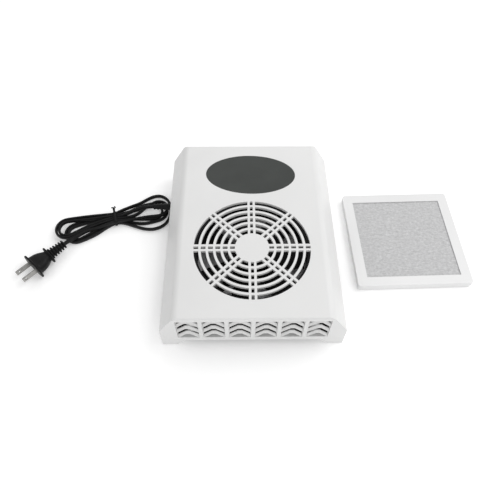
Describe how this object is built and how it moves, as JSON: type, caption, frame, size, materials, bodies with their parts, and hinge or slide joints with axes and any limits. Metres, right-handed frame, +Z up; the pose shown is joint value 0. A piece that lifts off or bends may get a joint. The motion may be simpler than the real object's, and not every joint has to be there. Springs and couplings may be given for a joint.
{
  "type": "nail dust collector",
  "caption": "Low desktop dust collector with a round intake grille over a fan, chevron exhaust louvres, a slide-out flat filter, a tied mains cord and a spare filter.",
  "frame": {"origin": "centre of the footprint of the case and the spare filter together, on the table", "axes": "+Z up, -Y is the louvred front that faces the user, +X is the user's right, where the filter slides out and the spare filter lies"},
  "size_m": [0.5001, 0.2266, 0.058],
  "materials": {
    "case_white": "satin moulded ABS, fine texture",
    "badge_grey": "dark grey plate, satin",
    "pad_rubber": "soft pale rubber",
    "screw_steel": "zinc-plated steel",
    "foam_black": "closed-cell foam",
    "fan_black": "glass-filled nylon",
    "magnet_grey": "sintered ferrite",
    "bronze": "sintered bronze",
    "lamination_steel": "stacked silicon steel",
    "copper_wire": "enamelled copper",
    "base_black": "black ABS, fine texture",
    "inner_plastic": "black ABS",
    "filter_white": "smooth white plastic",
    "filter_fabric": "grey non-woven fibre mat",
    "switch_black": "glossy black",
    "contact_brass": "tinned brass",
    "block_cream": "polyamide",
    "lead_brown": "PVC sleeve",
    "lead_blue": "PVC sleeve",
    "cord_black": "black PVC, satin",
    "plug_black": "black moulded PVC",
    "blade_steel": "nickel-plated brass"
  },
  "bodies": {
    "case": {"top_shell": "case_white", "vent_louvres": "case_white", "oval_badge": "badge_grey", "base_plate": "base_black", "rubber_feet": "pad_rubber", "base_screws": "screw_steel", "fan_gasket": "foam_black", "fan_frame": "fan_black", "fan_screws": "screw_steel", "upper_bearing": "bronze", "lower_bearing": "bronze", "stator_core": "lamination_steel", "stator_windings": "copper_wire", "filter_bay": "inner_plastic", "rear_partition": "inner_plastic", "switch_housing": "switch_black", "switch_terminals": "contact_brass", "terminal_block": "block_cream", "terminal_screws": "contact_brass", "cord_clamp": "inner_plastic", "clamp_screws": "screw_steel", "fan_leads": "lead_brown", "switch_leads": "lead_blue", "inner_cord": "cord_black", "strain_relief": "cord_black", "cord_lead": "cord_black", "cord_hank": "cord_black", "cord_tie": "plug_black", "cord_tail": "cord_black", "plug_relief": "plug_black", "plug_body": "plug_black", "plug_blades": "blade_steel"},
    "fan": {"fan_rotor": "fan_black", "rotor_magnet": "magnet_grey", "fan_shaft": "screw_steel", "shaft_clip": "screw_steel"},
    "filter": {"filter_frame": "filter_white", "filter_media": "filter_fabric"},
    "spare_filter": {"spare_filter_frame": "filter_white", "spare_filter_media": "filter_fabric"},
    "rocker": {"switch_rocker": "switch_black"}
  },
  "joints": [
    {"name": "fan_spin", "type": "hinge", "parent": "case", "child": "fan", "pos_m": [-0.075, -0.03275, 0.042], "axis": [0, 0, 1], "continuous": true},
    {"name": "filter_slide", "type": "slide", "parent": "case", "child": "filter", "axis": [1, 0, 0], "range_m": [0, 0.155]},
    {"name": "spare_lift", "type": "slide", "parent": "case", "child": "spare_filter", "axis": [0, 0, 1], "range_m": [0, 0.12]},
    {"name": "switch_rock", "type": "hinge", "parent": "case", "child": "rocker", "pos_m": [-0.03, 0.10385, 0.031], "axis": [-1, 0, 0], "range_deg": [0, 18]}
  ]
}
